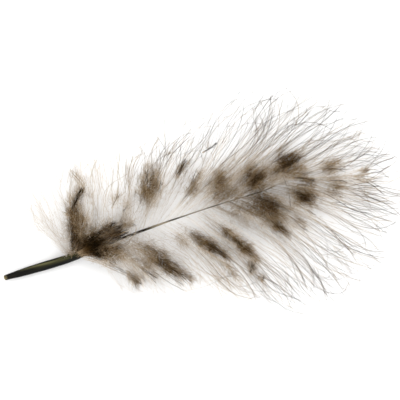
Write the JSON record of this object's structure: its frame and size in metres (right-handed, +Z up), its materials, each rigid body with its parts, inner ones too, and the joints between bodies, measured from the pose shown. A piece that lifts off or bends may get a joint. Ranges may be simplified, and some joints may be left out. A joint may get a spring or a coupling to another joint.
{
  "type": "marabou feather",
  "caption": "Soft barred down feather lying flat: a dark hollow quill, a thin curved shaft and loose fluffy locks of barbs on both sides.",
  "frame": {"origin": "the middle of the feather's outline, on the surface that it lies on", "axes": "+X runs along the shaft from the quill's cut end to the tip, +Y to the side with the backward tuft at the base, +Z up from the surface"},
  "size_m": [0.1026, 0.058, 0.0103],
  "materials": {
    "down": "off-white keratin barbs and fluff with soft brown bars, matt with a faint silky sheen",
    "quill": "dark olive-brown horny keratin, semi-gloss, thinning to a tan hair along the shaft"
  },
  "bodies": {
    "root": {"feather": "down"}
  },
  "joints": []
}
